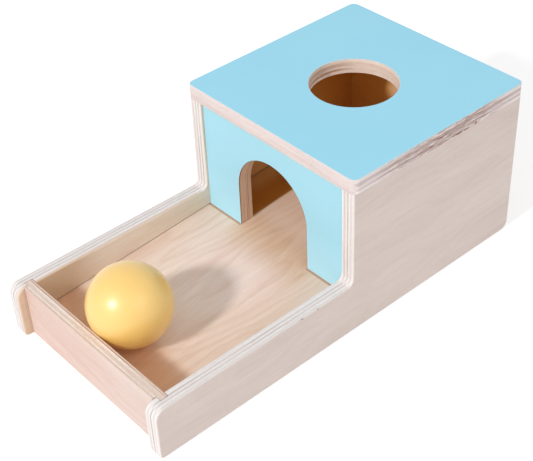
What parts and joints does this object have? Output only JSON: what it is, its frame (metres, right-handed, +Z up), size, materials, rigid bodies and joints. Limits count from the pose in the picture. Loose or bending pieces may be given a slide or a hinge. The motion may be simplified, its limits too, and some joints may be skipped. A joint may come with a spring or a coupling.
{
  "type": "object permanence box",
  "caption": "Plywood toy box with a round ball hole in its roof and a sloping floor that runs out through an arched doorway into an open tray, with a loose ball.",
  "frame": {"origin": "on the table, under the middle of the whole toy", "axes": "+X from the open end of the tray to the back of the box, +Y to the left seen from the tray, +Z up"},
  "size_m": [0.2608, 0.1306, 0.1],
  "materials": {
    "side_plywood": "pale sanded plywood, clear matt",
    "roof_plywood": "plywood with a satin light blue top face",
    "arch_plywood": "plywood with a satin light blue front face",
    "ramp_plywood": "warm sanded plywood, clear matt",
    "stop_plywood": "pinkish sanded plywood, clear matt",
    "ball_lacquer": "gloss yellow lacquer on wood"
  },
  "bodies": {
    "box": {"left_side": "side_plywood", "right_side": "side_plywood", "roof": "roof_plywood", "arch_panel": "arch_plywood", "back_panel": "side_plywood", "ramp": "ramp_plywood", "front_stop": "stop_plywood"},
    "ball": {"ball": "ball_lacquer"}
  },
  "joints": [
    {"name": "ball_run", "type": "slide", "parent": "box", "child": "ball", "axis": [0.9976, 0, 0.0698], "range_m": [0, 0.192]}
  ]
}
